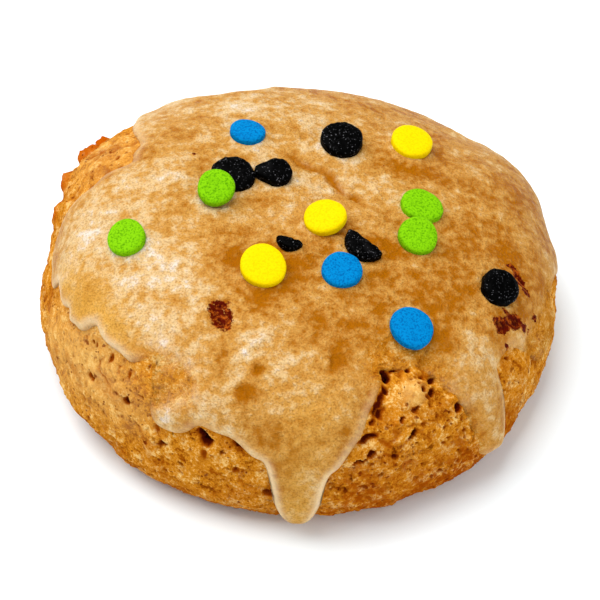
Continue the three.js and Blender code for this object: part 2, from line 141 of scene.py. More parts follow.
# The open crumb, the pebbly grain on it (size, rise), the crevices between lumps of it (size, half-width,
# depth) and its burst bubbles (cell size, largest radius, depth)
CRUMB_DEPTH = 0.6
CRUMB_LUMP = 3.4
CRUMB_LEVELS = (0.35, 0.8)
CRUMB_SHARE = 0.7
CRUMB_STARTS = (0.38, 0.48)
CRUMB_ENDS = (1.6, 1.95)
FLATTENED = (1, 1, 1.5)
PEBBLES = ((2.2, 0.18), (1.1, 0.18), (0.6, 0.2))
PEBBLE_HEIGHT = sum(rise for _, rise in PEBBLES)
PEBBLE_LEVEL = 0.27
CREVICES = ((2.6, 0.12, 0.25), (1.5, 0.14, 0.2))
CREVICE_LEVELS = (0.55, 0.75)
BUBBLES = ((2.1, 0.55, 0.6), (1.2, 0.4, 0.45))

# How strongly the relief tints the crust: by the depth of its hollows, darker in painted shade as well
# as in its own browning, at the foot, on flakes and lumps, and by the height of its grain, paler on its
# tops in painted light
DEEPEST = 1.2
FOOT_BROWN = 0.5
FOOT_STARTS = (1.05, 1.6)
FLAKE_TINT = 1.8
LUMP_TINT = 1.3
GRAIN_TINT = 1.6

# The dough's grid, and the small steps that directions on the dome are measured over
DOUGH_SPOKES = 700
FRONT_SHARE = 0.35
COVERED_RINGS = 6
COVERED_REACH = 0.36
BARE_RINGS = 126
BASE_RINGS = 6
PROFILE_POINTS = 400
TURN_STEP = 0.05
REACH_STEP = 0.002


def smooth(value, low, high):
    """0 up to low, 1 from high, and the cubic s-curve 3x^2 - 2x^3 between them."""
    share = np.clip((value - low) / (high - low), 0, 1)
    return share * share * (3 - 2 * share)


def outline(azimuth):
    """Radius of the widest line: half the width, times one plus a cosine wave for each lobe."""
    waves = [swing * np.cos(turns * np.radians(azimuth - towards)) for turns, swing, towards in LOBES]
    return WIDTH / 2 * (1 + sum(waves))


def dome(azimuth, reach):
    """Plain dome: a quarter superellipse from the top to the widest line, then a quarter ellipse in to
    the base's rim, with heights scaled by a plane that leans."""
    upper = np.clip(reach, 0, 1) * np.pi / 2
    lower = np.clip(reach - 1, 0, 1) * np.pi / 2
    sine = np.sin(upper)
    cosine = np.maximum(np.cos(upper), 0)
    fill = (sine**FULLNESS + cosine**FULLNESS) ** (-1 / FULLNESS)
    out = outline(azimuth) * sine * fill - BASE_UNDERCUT * (1 - np.cos(lower))
    height = (HEIGHT - WIDEST_HEIGHT) * cosine * fill + WIDEST_HEIGHT * (1 - np.sin(lower))
    x = out * np.cos(np.radians(azimuth))
    y = out * np.sin(np.radians(azimuth))
    tilt = 1 + (LEAN[0] * x + LEAN[1] * y) / (WIDTH / 2)
    return np.stack([AXIS[0] + x, AXIS[1] + y, height * tilt], -1)


def unit(vectors):
    """Vectors divided by their lengths."""
    return vectors / np.linalg.norm(vectors, axis=-1, keepdims=True)


def directions(azimuth, reach):
    """Unit vectors round the dome, down its side and out of it: differences over small steps, and
    their cross product."""
    middle = np.clip(reach, 2 * REACH_STEP, 2 - 2 * REACH_STEP)
    around = unit(dome(azimuth + TURN_STEP, middle) - dome(azimuth - TURN_STEP, middle))
    down = unit(dome(azimuth, middle + REACH_STEP) - dome(azimuth, middle - REACH_STEP))
    return around, down, unit(np.cross(down, around))


def bumps(places, points):
    """Sum over the places of rise times exp(-(distance / half-width)^2)."""
    total = np.zeros(points.shape[:-1])
    for azimuth, reach, half, rise in places:
        away = np.linalg.norm(points - dome(azimuth, reach), axis=-1)
        total += rise * np.exp(-((away / half) ** 2))
    return total


def corner(i, j, k):
    """Random value from 0 to 1 at a lattice corner: the fraction of a large multiple of a sine."""
    wave = np.sin(i * 127.1 + j * 311.7 + k * 74.7) * 43758.5453
    return wave - np.floor(wave)


def noise(points, lump):
    """Smooth noise from 0 to 1: random values at the corners of a lattice, eased between them."""
    cell = np.floor(points / lump)
    share = smooth(points / lump - cell, 0, 1)
    total = np.zeros(points.shape[:-1])
    for step in np.ndindex(2, 2, 2):
        weight = np.prod(np.where(step, share, 1 - share), -1)
        total += weight * corner(*np.moveaxis(cell + step, -1, 0))
    return total


def ragged(points):
    """Points pushed about by smooth noise, one draw for each axis, as the outlines of pits are."""
    apart = 37.0
    pushes = [noise(points + apart * draw, PIT_LUMP) - 0.5 for draw in (1, 2, 3)]
    return points + 2 * PIT_RAGGED * np.stack(pushes, -1)


def pits(places, points):
    """Depth of pits with flat floors and steep walls: depth times exp(-s^2), where s is the squared
    distance in half-widths, measured round and down the dome and turned, and loosely through its skin."""
    total = np.zeros(points.shape[:-1])
    for azimuth, reach, across, down, depth, turn in places:
        around, downward, out = directions(azimuth, reach)
        away = points - dome(azimuth, reach)
        cosine, sine = math.cos(math.radians(turn)), math.sin(math.radians(turn))
        level = away @ (around * cosine - downward * sine)
        steep = away @ (around * sine + downward * cosine)
        spread = (level / across) ** 2 + (steep / down) ** 2 + (away @ out / PIT_THROUGH) ** 2
        total = np.maximum(total, depth * np.exp(-(spread**2)))
    return total


def bubbles(points, cell_size, radius, depth):
    """Burst bubbles: each cell of a lattice holds one at a random place, with a random radius, and its
    depth falls off as (1 - (distance / radius)^2)^2."""
    cell = np.floor(points / cell_size)
    total = np.zeros(points.shape[:-1])
    for step in np.ndindex(3, 3, 3):
        home = np.moveaxis(cell + step - 1, -1, 0)
        place = np.stack([corner(*(home + draw)) for draw in (11, 23, 41)], -1)
        size = radius * (0.4 + 0.6 * corner(*(home + 67)) ** 2)
        away = np.linalg.norm(points - (np.moveaxis(home, 0, -1) + place) * cell_size, axis=-1)
        total = np.maximum(total, depth * np.clip(1 - (away / size) ** 2, 0, 1) ** 2)
    return total


def valleys(points, lump):
    """Distance in height from the middle level of smooth noise: sharp valleys between rounded lumps."""
    return np.abs(2 * noise(points, lump) - 1)


def skin(azimuth, reach, lift):
    """Point of the dough's smooth skin, the dome plus its swells, which end at the base, moved out by
    a lift."""
    point = dome(azimuth, reach)
    out = directions(azimuth, reach)[2]
    swell = bumps(SWELLS, point) * (1 - smooth(reach, *CRUMB_ENDS))
    return point + out * (swell + lift)[..., None]


def hollows(pushed, flat, craggy):
    """Depth of pits, crevices and burst bubbles, whichever is deepest. A crevice follows the valleys of
    one noise, and opens where a coarser one is high."""
    deepest = pits(PITS, pushed)
    for size, half, depth in CREVICES:
        opened = smooth(noise(flat + size, 2 * size), *CREVICE_LEVELS)
        split = depth * opened * np.exp(-((valleys(flat, size) / half) ** 2))
        deepest = np.maximum(deepest, split * craggy)
    for layer in BUBBLES:
        deepest = np.maximum(deepest, bubbles(flat, *layer) * craggy)
    return deepest


def crust(azimuth, reach):
    """Relief of the bare crust, and its traits from 0 to 1: how hollow it is, how brown at the foot and in
    painted shade on the lower front right, and how flaky, pale and high in the grain. Flakes and lumps
    stand proud of the skin; the crumb and its hollows sink into it."""
    point = dome(azimuth, reach)
    pushed = ragged(point)
    flat = pushed * FLATTENED
    shown = smooth(reach, *CRUMB_STARTS) * (1 - smooth(reach, *CRUMB_ENDS))
    craggy = 1 + bumps(CRAG, point)
    coarse = smooth(noise(point, CRUMB_LUMP), *CRUMB_LEVELS)
    crumb = coarse * CRUMB_SHARE + noise(point, CRUMB_LUMP / 2) * (1 - CRUMB_SHARE)
    grain = sum(rise * valleys(flat, size) for size, rise in PEBBLES)
    rough = craggy * (grain - PEBBLE_LEVEL * PEBBLE_HEIGHT - CRUMB_DEPTH * crumb)
    flake = pits(FLAKES, pushed)
    torn = 0.5 + noise(point, FLAKE_LUMP)
    lumps = bumps(LUMPS, point)
    hollow = hollows(pushed, flat, craggy)
    relief = flake * torn + lumps - hollow + rough
    traits = {
        "hollow": hollow / DEEPEST * shown,
        # Brown at the foot, and painted shade on the lower front right
        "toasted_and_shaded": FOOT_BROWN * smooth(reach, *FOOT_STARTS) + bumps(FRONT_RIGHT_SHADE, point),
        "flake": flake * FLAKE_TINT,
        "pale": lumps * LUMP_TINT + bumps(PALE_CRUST, point),
        # How high the grain stands, which paints its tops paler: painted light
        "high": grain / PEBBLE_HEIGHT * GRAIN_TINT,
    }
    return relief * shown, {name: np.clip(kept, 0, 1) for name, kept in traits.items()}


def dough_rings():
    """Azimuths and reaches of the dough's grid: a few rings under the glaze, then rings at even steps
    along the front's profile down to the base's rim. Spokes crowd towards the front, where little
    glaze covers the side: an even turn plus a sine of it."""
    walk = np.linspace(COVERED_REACH, 2, PROFILE_POINTS)
    profile = dome(np.full_like(walk, -90.0), walk)
    length = np.concatenate([[0], np.cumsum(np.linalg.norm(np.diff(profile, axis=0), axis=-1))])
    bare = np.interp(np.linspace(0, length[-1], BARE_RINGS), length, walk)
    covered = np.linspace(0, COVERED_REACH, COVERED_RINGS + 1)[1:-1]
    even = np.linspace(-180, 180, DOUGH_SPOKES, endpoint=False)
    azimuths = even - FRONT_SHARE * np.degrees(np.sin(np.radians(even + 90)))
    return np.meshgrid(np.concatenate([covered, bare]), azimuths, indexing="ij")[::-1]


def shell_faces(rings, spokes):
    """Quads between rings of points that run round, and the triangles of two fans that close them, to a
    top and a bottom point that follow the rings."""
    here = np.arange(rings * spokes).reshape(rings, spokes)
    after = np.roll(here, -1, 1)
    quads = np.stack([here[:-1], here[1:], after[1:], after[:-1]], -1).reshape(-1, 4)
    top = np.full(spokes, rings * spokes)
    fans = [np.stack([top, here[0], after[0]], -1), np.stack([here[-1], top + 1, after[-1]], -1)]
    return quads, np.concatenate(fans)


def new_piece(name, points, quads, triangles, material):
    """Smoothly shaded piece of a material, from points in millimetres and the corners of its faces."""
    corners = np.concatenate([quads.ravel(), triangles.ravel()]).astype(np.int32)
    sizes = np.repeat([4, 3], [len(quads), len(triangles)])
    mesh = bpy.data.meshes.new(name)
    mesh.vertices.add(len(points))
    mesh.vertices.foreach_set("co", (points * MM).ravel())
    mesh.loops.add(len(corners))
    mesh.loops.foreach_set("vertex_index", corners)
    mesh.polygons.add(len(sizes))
    mesh.polygons.foreach_set("loop_start", (np.cumsum(sizes) - sizes).astype(np.int32))
    mesh.polygons.foreach_set("use_smooth", np.ones(len(sizes), bool))
    mesh.update(calc_edges=True)
    mesh.materials.append(material)
    piece = bpy.data.objects.new(name, mesh)
    bpy.context.scene.collection.objects.link(piece)
    return piece


def closed_piece(name, rings, top, bottom, material, traits):
    """Piece from rings of points that a top and a bottom point close; each trait is a value for every
    point of the rings, kept as an attribute of the mesh."""
    points = np.concatenate([rings.reshape(-1, 3), [top], [bottom]])
    piece = new_piece(name, points, *shell_faces(*rings.shape[:2]), material)
    for trait, values in traits.items():
        kept = np.concatenate([values.ravel(), [values[0].mean()], [values[-1].mean()]])
        piece.data.attributes.new(trait, "FLOAT", "POINT").data.foreach_set("value", kept)
    return piece


def carried_on(traits, rings):
    """Traits whose last ring is repeated for a number of further rings."""
    return {name: np.concatenate([kept, kept[-1:].repeat(rings, 0)]) for name, kept in traits.items()}


class Value:
    """A number, colour or vector in a material's nodes; arithmetic on it adds Math nodes."""

    def __init__(self, socket):
        self.socket = socket

    def node(self, kind, settings, inputs, output=0):
        """Adds a node: its settings first, then the value of each input or the link to it."""
        tree = self.socket.id_data
        made = tree.nodes.new(kind)
        for name, setting in settings.items():
            setattr(made, name, setting)
        for name, value in inputs.items():
            if isinstance(value, Value):
                tree.links.new(value.socket, made.inputs[name])
            else:
                made.inputs[name].default_value = value
        return Value(made.outputs[output])

    def math(self, operation, first, second):
        """Adds a Math node for two values or numbers."""
        return self.node("ShaderNodeMath", {"operation": operation}, {0: first, 1: second})

    def __add__(self, other):
        return self.math("ADD", self, other)

    def __sub__(self, other):
        return self.math("SUBTRACT", self, other)

    def __rsub__(self, other):
        return self.math("SUBTRACT", other, self)

    def __mul__(self, other):
        return self.math("MULTIPLY", self, other)

    __radd__ = __add__
    __rmul__ = __mul__

    def ramp(self, low, high):
        """0 up to low and 1 from high, eased between them."""
        inputs = {"Value": self, "From Min": low, "From Max": high}
        return self.node("ShaderNodeMapRange", {"interpolation_type": "SMOOTHSTEP"}, inputs)

    def mix(self, low, high):
        """Goes from one colour to another as this value goes from 0 to 1."""
        return self.node("ShaderNodeMix", {"data_type": "RGBA"}, {0: self, 6: low, 7: high}, 2)

    def cloud(self, size, detail=2.0, roughness=0.5, shift=0.0):
        """Noise over these coordinates, with lumps of a size in millimetres."""
        moved = self.node("ShaderNodeMapping", {}, {"Vector": self, "Location": (shift * MM,) * 3})
        inputs = {"Vector": moved, "Scale": 1 / (size * MM), "Detail": detail, "Roughness": roughness}
        return self.node("ShaderNodeTexNoise", {}, inputs)

    def trait(self, name):
        """A value that the mesh keeps for each of its points."""
        return self.node("ShaderNodeAttribute", {"attribute_name": name}, {}, "Fac")

    def into(self, socket):
        """Links this value to an input."""
        self.socket.id_data.links.new(self.socket, socket)

    def bump_into(self, socket, strength, depth):
        """Tilts a shader's normal by this height, of a depth in millimetres."""
        inputs = {"Height": self, "Strength": strength, "Distance": depth * MM}
        self.node("ShaderNodeBump", {}, inputs).into(socket)


def colour(red, green, blue):
    """Linear colour of a screen colour from 0 to 255, by the usual 2.4 power curve."""
    shares = np.array([red, green, blue]) / 255
    linear = np.where(shares > 0.04045, ((shares + 0.055) / 1.055) ** 2.4, shares / 12.92)
    return (*linear.tolist(), 1.0)


def new_material(name):
    """A material, its principled shader's inputs and its object coordinates."""
    material = bpy.data.materials.new(name)
    material.use_nodes = True
    nodes = material.node_tree.nodes
    place = Value(nodes.new("ShaderNodeTexCoord").outputs["Object"])
    return material, nodes["Principled BSDF"].inputs, place


# Colours of the crumb. The browns and the near black that deepen down the hollows and fill the pores are
# partly the crust's own browning and partly painted shade.
GAP_BROWN = colour(150, 74, 3)
GOLDEN = colour(206, 132, 28)
PALE_CRUMB = colour(236, 191, 114)
TOAST_AND_SHADE_BROWN = colour(158, 74, 2)
FLAKE_ORANGE = colour(184, 84, 4)
RED_BROWN_AND_SHADE = colour(92, 24, 3)
PORE_SHADE_BROWN = colour(116, 40, 3)
HOLE_SHADE = colour(24, 5, 2)

# Pores, large then fine: the size of the cells that each holds one, how near to its middle a pore starts
# and is full, and the size, shift and levels of the cloud that they cluster in
PORES = (
    dict(cell=1.3, near=(0.72, 0.88), cluster=3.6, shift=70, levels=(0.46, 0.56)),
    dict(cell=0.65, near=(0.74, 0.9), cluster=2.2, shift=100, levels=(0.48, 0.58)),
)
PORE_WANDER = 0.7
PORE_WANDER_LUMP = 0.8


def dough_colour(place):
    """Golden crumb and its grain: brown gaps, golden crumb and pale crumbs, by the sum of a broad mottle,
    the mesh's own grain and two finer ones. The mesh's grain makes its high places paler: painted light."""
    grain = place.cloud(0.28, 3, 0.7, 20)
    level = place.cloud(2.6, 3, 0.6) * 1.3 + place.cloud(0.9, 2, 0.5, 50) * 1.1 + grain * 1.6
    # Painted light: the crumb is paler where the mesh's grain stands high
    level = level + place.trait("high") * 0.2 - 1.6
    crumb = level.ramp(0.05, 0.5).mix(GAP_BROWN, GOLDEN)
    return level.ramp(0.5, 0.95).mix(crumb, PALE_CRUMB), grain


def crust_pores(place):
    """Share of the crust that is pore: near the middles of cells whose places wander, in clusters."""
    scale = 1 / (PORE_WANDER_LUMP * MM)
    wander = place.node("ShaderNodeTexNoise", {}, {"Vector": place, "Scale": scale}, "Color")
    nudge = {0: wander, "Scale": PORE_WANDER * MM}
    nudge = place.node("ShaderNodeVectorMath", {"operation": "SCALE"}, nudge)
    nudged = place.node("ShaderNodeVectorMath", {"operation": "ADD"}, {0: place, 1: nudge})
    pores = 0
    for layer in PORES:
        cells = {"Vector": nudged, "Scale": 1 / (layer["cell"] * MM)}
        away = place.node("ShaderNodeTexVoronoi", {}, cells, "Distance")
        clusters = place.cloud(layer["cluster"], 2, 0.5, layer["shift"]).ramp(*layer["levels"])
        pores = (1 - away).ramp(*layer["near"]) * clusters + pores
    return pores


def torn_hollow(place):
    """How hollow the crust is, made ragged by a fine cloud."""
    return place.trait("hollow") * (0.45 + 1.1 * place.cloud(0.5, 3, 0.65, 15))


def dough_material():
    """Matt golden crumb that turns orange-brown where it is toasted and, as painted shade, on the lower
    front right; brown, red-brown and then nearly black down in its hollows and pores, partly its own
    browning and partly painted shade."""
    material, inputs, place = new_material("baked_dough")
    tint, grain = dough_colour(place)
    pores = crust_pores(place)
    hollow = torn_hollow(place)
    blotches = place.cloud(3.6, 2, 0.5, 70)
    patches = 0.3 + 1.4 * place.cloud(0.7, 3, 0.7, 40).ramp(0.38, 0.62)
    pale = place.trait("pale").ramp(0.1, 0.9) * place.cloud(0.8, 3, 0.6, 25)
    # The toast brown lies on the foot and, as painted shade, on the lower front right, in random patches
    toasted_and_shaded = place.trait("toasted_and_shaded") * patches + blotches.ramp(0.45, 0.7) * 0.35
    flake = place.trait("flake") * (0.3 + 1.2 * blotches)
    tint = pale.mix(tint, PALE_CRUMB)
    tint = toasted_and_shaded.mix(tint, TOAST_AND_SHADE_BROWN)
    tint = flake.mix(tint, FLAKE_ORANGE)
    # Painted shade, partly the crust's own browning: brown, then red-brown, then nearly black deeper in
    # the hollows, and brown in the pores
    tint = (hollow + grain * 0.25 - 0.12).ramp(0.05, 0.3).mix(tint, TOAST_AND_SHADE_BROWN)
    tint = (pores * 0.85).mix(tint, PORE_SHADE_BROWN)
    tint = hollow.ramp(0.25, 0.55).mix(tint, RED_BROWN_AND_SHADE)
    tint = hollow.ramp(0.8, 1.2).mix(tint, HOLE_SHADE)
    tint.into(inputs["Base Color"])
    inputs["Roughness"].default_value = 0.9
    inputs["Specular IOR Level"].default_value = 0.01
    (grain - pores * 0.4).bump_into(inputs["Normal"], 1.0, 0.22)
    return material


def dough_piece():
    """The crust's rings, then rings that run in to the middle of the flat base."""
    azimuth, reach = dough_rings()
    relief, traits = crust(azimuth, reach)
    rings = skin(azimuth, reach, relief)
    base_centre = np.array([*AXIS, 0.0])
    shares = np.linspace(0, 1, BASE_RINGS + 1)[1:-1, None, None]
    rings = np.concatenate([rings, rings[-1] + shares * (base_centre - rings[-1])])
    traits = carried_on(traits, len(shares))
    top = skin(np.array(0.0), np.array(0.0), 0.0)
    return closed_piece("dough", rings, top, base_centre, dough_material(), traits)


dough = dough_piece()
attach(dough, "root")
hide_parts("cookie")

# The glaze
# A thin sugar glaze, poured over the warm cookie and left to run. It dries clear and uneven: tan with
# whitish sugar and painted sheen, honey where it pools behind its rounded rim, and a bare film where it
# ran thin.

# Its thickness, the noise in that (lump, rise), the width of the rolled edge, the rise of a lip, how much
# and how far in a plain edge is thinned, its depth under the skin, and how a film lies on the crumb
GLAZE_THICKNESS = 0.9
GLAZE_UNEVEN = ((7.0, 0.3), (2.6, 0.22), (1.1, 0.1), (0.55, 0.04))
GLAZE_ROLL = 1.0
LIP_RISE = 0.12
THIN_EDGE = 0.6
THIN_REACH = 2.2
GLAZE_BURIED = 1.3
FILM_LIFT = 0.12
FILM_DIP = 0.3

# The edge's mean reach, how square the ends of its runs are, and its waver (lump, reach)
EDGE_REACH = 0.58
RUN_SHOULDER = 4
EDGE_WAVER = (2.4, 0.018)

# Runs and bays of the glaze's edge: azimuth, half-width in degrees, how much further it reaches
RUNS = (
    (-179, 8.5, 0.25), (-164, 8.5, 0.1), (-152.5, 4, 0.085), (-140, 9, 0.04), (-121, 6.5, 0.2),
    (-107, 8, 0.135), (-91, 4.2, 0.2), (-91, 5.3, 0.45), (-91, 10.5, 0.2), (-80, 5, 0.09),
    (-62.5, 9, -0.09), (-52, 4, 0.05), (-44, 5.2, 0.5), (-33, 9, 0.06), (-15, 10, 0.34), (4, 12, 0.17),
    (17, 11, 0.2), (36, 10, 0.14), (62, 11, 0.42), (86, 10, 0.42), (110, 10, -0.08), (130, 6, 0.12),
    (160, 17.5, -0.165), (171, 8, 0.07),
)

# Pools and hollows of the glaze, the film where it ran thin, whitish sugar and painted sheen (golden
# where it is negative), where its rim is a thick lip, and honey pools behind that rim: azimuth, reach,
# half-width, strength
GLAZE_SWELLS = (
    (-150, 0.64, 3, 0.25), (-106, 0.42, 2.2, 0.25), (-96, 0.46, 2.4, 0.2), (-91, 1.2, 2.4, 0.3),
    (-44, 0.9, 3, 0.2), (8, 0.7, 5, -0.35), (30, 0.1, 2.4, -0.25), (75, 0.11, 2.6, -0.25),
)
FILM = (
    (-129, 0.6, 2.2, 0.9), (-125, 0.67, 1.4, 1.0), (-124, 0.6, 2.4, 1.2), (-119, 0.6, 2.2, 0.8),
    (-67, 0.47, 2.6, 1.0), (-60, 0.47, 3.0, 1.1), (-55, 0.54, 2.6, 1.0), (-52.5, 0.63, 1.8, 0.8),
    (-49.5, 0.75, 1.6, 0.9), (-48.5, 0.86, 1.4, 0.9), (-47.5, 0.95, 1.2, 0.9), (-33, 0.65, 2.0, 0.6),
    (-28, 0.76, 2.2, 0.9), (-20, 0.74, 2.4, 0.9), (-20, 0.86, 3.0, 1.0), (-12, 0.76, 2.6, 0.8),
    (-10, 0.86, 3.0, 1.0), (-4, 0.74, 2.6, 0.7),
)
FROST_AND_SHEEN = (
    # whitish
    (-178, 0.6, 3, 0.4), (-172, 0.456, 5, 0.9), (-168, 0.067, 3.5, 0.4), (-168, 0.58, 4, 0.5),
    (-152, 0.35, 4, 0.4), (-148, 0.491, 3.5, 0.45), (-143, 0.306, 2.5, 0.4), (-140, 0.406, 5, 1.0),
    (-136, 0.481, 3.5, 0.5), (-128, 0.43, 3, 0.5), (-125, 0.52, 3.5, 0.5), (-124, 0.735, 1.4, 0.9),
    (-121, 0.69, 2.4, 0.8), (-115, 0.632, 3, 0.8), (-105, 0.431, 2.5, 0.7), (-98, 0.5, 3, 0.5),
    (-94, 0.57, 3, 0.35), (-91, 0.8, 4, 0.15), (-91, 1.1, 4, 0.5), (-45, 0.7, 5, 0.45),
    (-42, 0.52, 3, 0.45), (-15, 0.18, 2.5, 0.6), (16, 0.2, 3, 0.3), (37.5, 0.164, 2.4, 0.6),
    (43, 0.5, 4, 0.5), (70, 0.1, 3.5, 0.35), (74, 0.07, 2, 0.6), (83, 0.26, 3, 0.4), (85, 0.38, 6, 0.35),
    (91, 0.346, 4, 0.3), (112, 0.4, 5, 0.6), (114, 0.35, 4, 0.3), (129, 0.53, 5, 0.8),
    (134, 0.161, 3, 0.4), (164, 0.39, 4, 0.5), (178, 0.24, 4, 0.4), (178, 0.37, 5, 0.6),
    # golden
    (-153, 0.58, 2.5, -0.2), (-143, 0.58, 2.5, -0.2), (-134, 0.25, 3, -0.7), (-106, 0.28, 3.5, -0.8),
    (-104.5, 0.557, 1.1, -1.6), (-104, 0.18, 3.5, -0.8), (-102, 0.488, 0.9, -1.6), (-100, 0.221, 2, -0.5),
    (-93, 0.79, 2.5, -0.3), (-80, 0.447, 1.0, -1.6), (-76, 0.4, 3, -0.4), (-69, 0.3, 4, -0.3),
    (-62, 0.43, 3.5, -0.5), (-50, 0.46, 3, -0.8), (-43, 0.41, 3.5, -0.5), (-40, 0.22, 4, -0.5),
    (-37, 0.215, 2, -0.5), (-30, 0.12, 2.5, -0.6), (-25, 0.42, 5, -0.5), (-12, 0.57, 4, -0.5),
    (-10, 0.33, 4, -0.3), (-5, 0.48, 6, -0.25), (22, 0.42, 6, -0.2), (34, 0.3, 3.5, -0.6),
    (37, 0.5, 4, -0.3),
)
LIPS = (
    (-165, 0.68, 5, 0.6), (-148, 0.64, 5, 0.6), (-136, 0.62, 4, 0.6), (-96, 0.8, 4, 0.6),
    (-91, 1.0, 5, 1.0), (-86, 0.8, 4, 0.6), (-41, 1.0, 3, 0.6), (26, 0.65, 6, 0.9), (42, 0.6, 8, 1.0),
    (62, 0.75, 9, 1.0), (88, 0.6, 9, 1.0), (110, 0.5, 8, 1.0), (126, 0.55, 6, 1.0),
)
HONEY = (
    (-165, 0.62, 3.0, 0.65), (-153, 0.6, 3.4, 0.7), (-143, 0.6, 3.4, 0.75), (-91, 0.8, 3, 0.3),
    (-91, 1.1, 4, 0.6), (-88, 0.6, 4, 0.35),
)

# Dents, ridges, creases and stains of the glaze, and the crumb that shows in a stain: azimuth, reach,
# half-width across, half-width down, depth, turn
GLAZE_DENTS = (
    (-118, 0.388, 1.2, 1.9, 0.7, 40), (-104.5, 0.557, 1.0, 0.5, 0.4, -25),
    (-102, 0.488, 0.6, 0.5, 0.3, 0), (-86, 0.55, 1.0, 0.6, 0.2, 0), (-80, 0.447, 0.5, 1.2, 0.4, 25),
    (-28.5, 0.563, 1.0, 0.9, 0.4, 0), (-24.5, 0.582, 0.9, 0.8, 0.4, 0), (-11, 0.55, 0.4, 1.6, 0.4, -35),
)
GLAZE_RIDGES = (
    (-105, 0.431, 4.0, 0.5, 0.25, 58), (-91, 0.971, 2.4, 0.2, 0.12, 0),
    (165.5, 0.309, 0.25, 3.0, 0.12, -16),
)
GLAZE_CREASES = (
    (18, 0.125, 1.1, 0.45, 0.45, 36), (50, 0.114, 2.4, 0.6, 0.45, -15),
    (84.5, 0.146, 2.2, 0.55, 0.4, -21),
)
STAINS = (
    (-118, 0.388, 1.3, 2.1, 1.1, 40), (-30.5, 0.619, 0.3, 0.6, 0.8, 0), (-28.5, 0.557, 1.0, 1.1, 1.1, 0),
    (-26.5, 0.575, 0.9, 0.9, 1.0, 0), (-24.5, 0.544, 0.3, 0.7, 1.0, 0), (-24, 0.591, 1.0, 1.0, 1.1, 0),
    (-22.5, 0.635, 0.5, 0.6, 1.0, 0), (-20.5, 0.673, 0.25, 0.6, 1.0, 0), (-16, 0.67, 0.35, 0.9, 1.0, 0),
    (-13.5, 0.576, 0.55, 0.7, 1.0, -35), (-12, 0.557, 0.6, 0.7, 1.1, -35),
    (-10.5, 0.538, 0.6, 0.7, 1.1, -35), (-9, 0.516, 0.45, 0.6, 1.0, 0), (39.5, 0.237, 0.2, 0.2, 1.2, 0),
    (150.5, 0.281, 0.22, 0.2, 1.2, 0),
)
STAIN_CRUMBS = ((-117.5, 0.38, 0.6, 1.0, 0.5, 40),)

# Where the tints of the glaze lie, in millimetres from its edge, and the limits of its frost, which is
# partly dried sugar and partly painted sheen
# The rim's cream is partly the glaze's own colour and partly a painted highlight along the edge
RIM_MIDDLE = 0.45
RIM_HALF = 0.55
RIM_LEAST = 0.3
HONEY_STARTS = (0.6, 1.6)
FROST_AND_SHEEN_STARTS = (0.4, 1.4)
FROST_AND_SHEEN_LIMITS = (-1.6, 1)

# Sprinkles, which the glaze is drawn up round, by their plan place from the dome's axis; each may lean
# over towards an azimuth, lie on another one, have a tip, or be the half on one side of a break
SPRINKLES = {
    "yellow": (
        dict(x=13.0, y=12.6, width=5.2, lean=8, towards=-90),
        dict(x=2.5, y=-2.8, width=5.0, lean=14, towards=-150),
        dict(x=-4.6, y=-11.1, width=5.4, lean=12, towards=-90),
    ),
    "green": (
        dict(x=-10.2, y=-0.2, width=4.5, lean=20, towards=-90, raised=0.5),
        dict(x=13.9, y=1.4, width=5.1),
        dict(x=13.2, y=-3.9, width=4.8, lean=12, towards=-90),
        dict(x=-20.0, y=-6.5, width=4.6, lean=8, towards=-90),
        dict(x=14.4, y=27.1, width=4.8),
    ),
    "blue": (
        dict(x=-6.6, y=11.0, width=4.3),
        dict(x=4.4, y=-10.5, width=4.8, lean=6, towards=-90),
        dict(x=12.3, y=-16.7, width=5.2),
        dict(x=2.0, y=28.6, width=5.0),
    ),
    "black": (
        dict(x=4.6, y=10.8, width=5.2, lean=8, towards=-90),
        dict(x=-8.2, y=3.3, width=5.2, lean=4, towards=-90),
        dict(x=-3.1, y=4.0, width=4.3, lean=10, towards=-60, tip=185),
        dict(x=22.4, y=-8.2, width=4.7, lean=10, towards=-90),
        dict(x=-1.7, y=-7.2, width=3.1, half=-105),
        dict(x=6.7, y=-6.5, width=5.4, half=-130),
    ),
}

# Half-width and rise of the glaze drawn up round a sprinkle
MENISCUS = (0.5, 0.25)

# The glaze's grid, and the points that its edge is measured at
GLAZE_SPOKES = 860
GLAZE_RINGS = 104
EDGE_POINTS = 3600
EDGE_SHARE = 0.55
BURIED_RINGS = 3
UNDER_SHARES = (0.85, 0.6, 0.3)


def edge_reach(azimuth):
    """Reach of the glaze's edge: a mean reach, plus for each run further * exp(-|angle / half|^4), and
    a little waver."""
    reach = np.full(np.shape(azimuth), EDGE_REACH)
    for at, half, further in RUNS:
        turned = (azimuth - at + 180) % 360 - 180
        reach = reach + further * np.exp(-np.abs(turned / half) ** RUN_SHOULDER)
    lump, amount = EDGE_WAVER
    return reach + amount * (noise(dome(azimuth, np.ones_like(reach)), lump) - 0.5)


def glaze_spokes():
    """Azimuths of the glaze's spokes: steps that are even partly in angle and partly along the edge."""
    walk = np.linspace(-180, 180, EDGE_POINTS + 1)
    edge = dome(walk, edge_reach(walk))
    along = np.concatenate([[0], np.cumsum(np.linalg.norm(np.diff(edge, axis=0), axis=-1))])
    walked = EDGE_SHARE * along / along[-1] + (1 - EDGE_SHARE) * np.linspace(0, 1, len(walk))
    return np.interp(np.linspace(0, 1, GLAZE_SPOKES, endpoint=False), walked, walk)


def edge_distance(points):
    """Distance from each point to the nearest point of the glaze's edge."""
    azimuth = np.linspace(-180, 180, EDGE_POINTS, endpoint=False)
    edge = skin(azimuth, edge_reach(azimuth), 0.0)
    nearest = []
    for row in points:
        square = (row**2).sum(-1)[:, None] - 2 * row @ edge.T + (edge**2).sum(-1)
        nearest.append(np.sqrt(np.maximum(square.min(1), 0)))
    return np.stack(nearest)


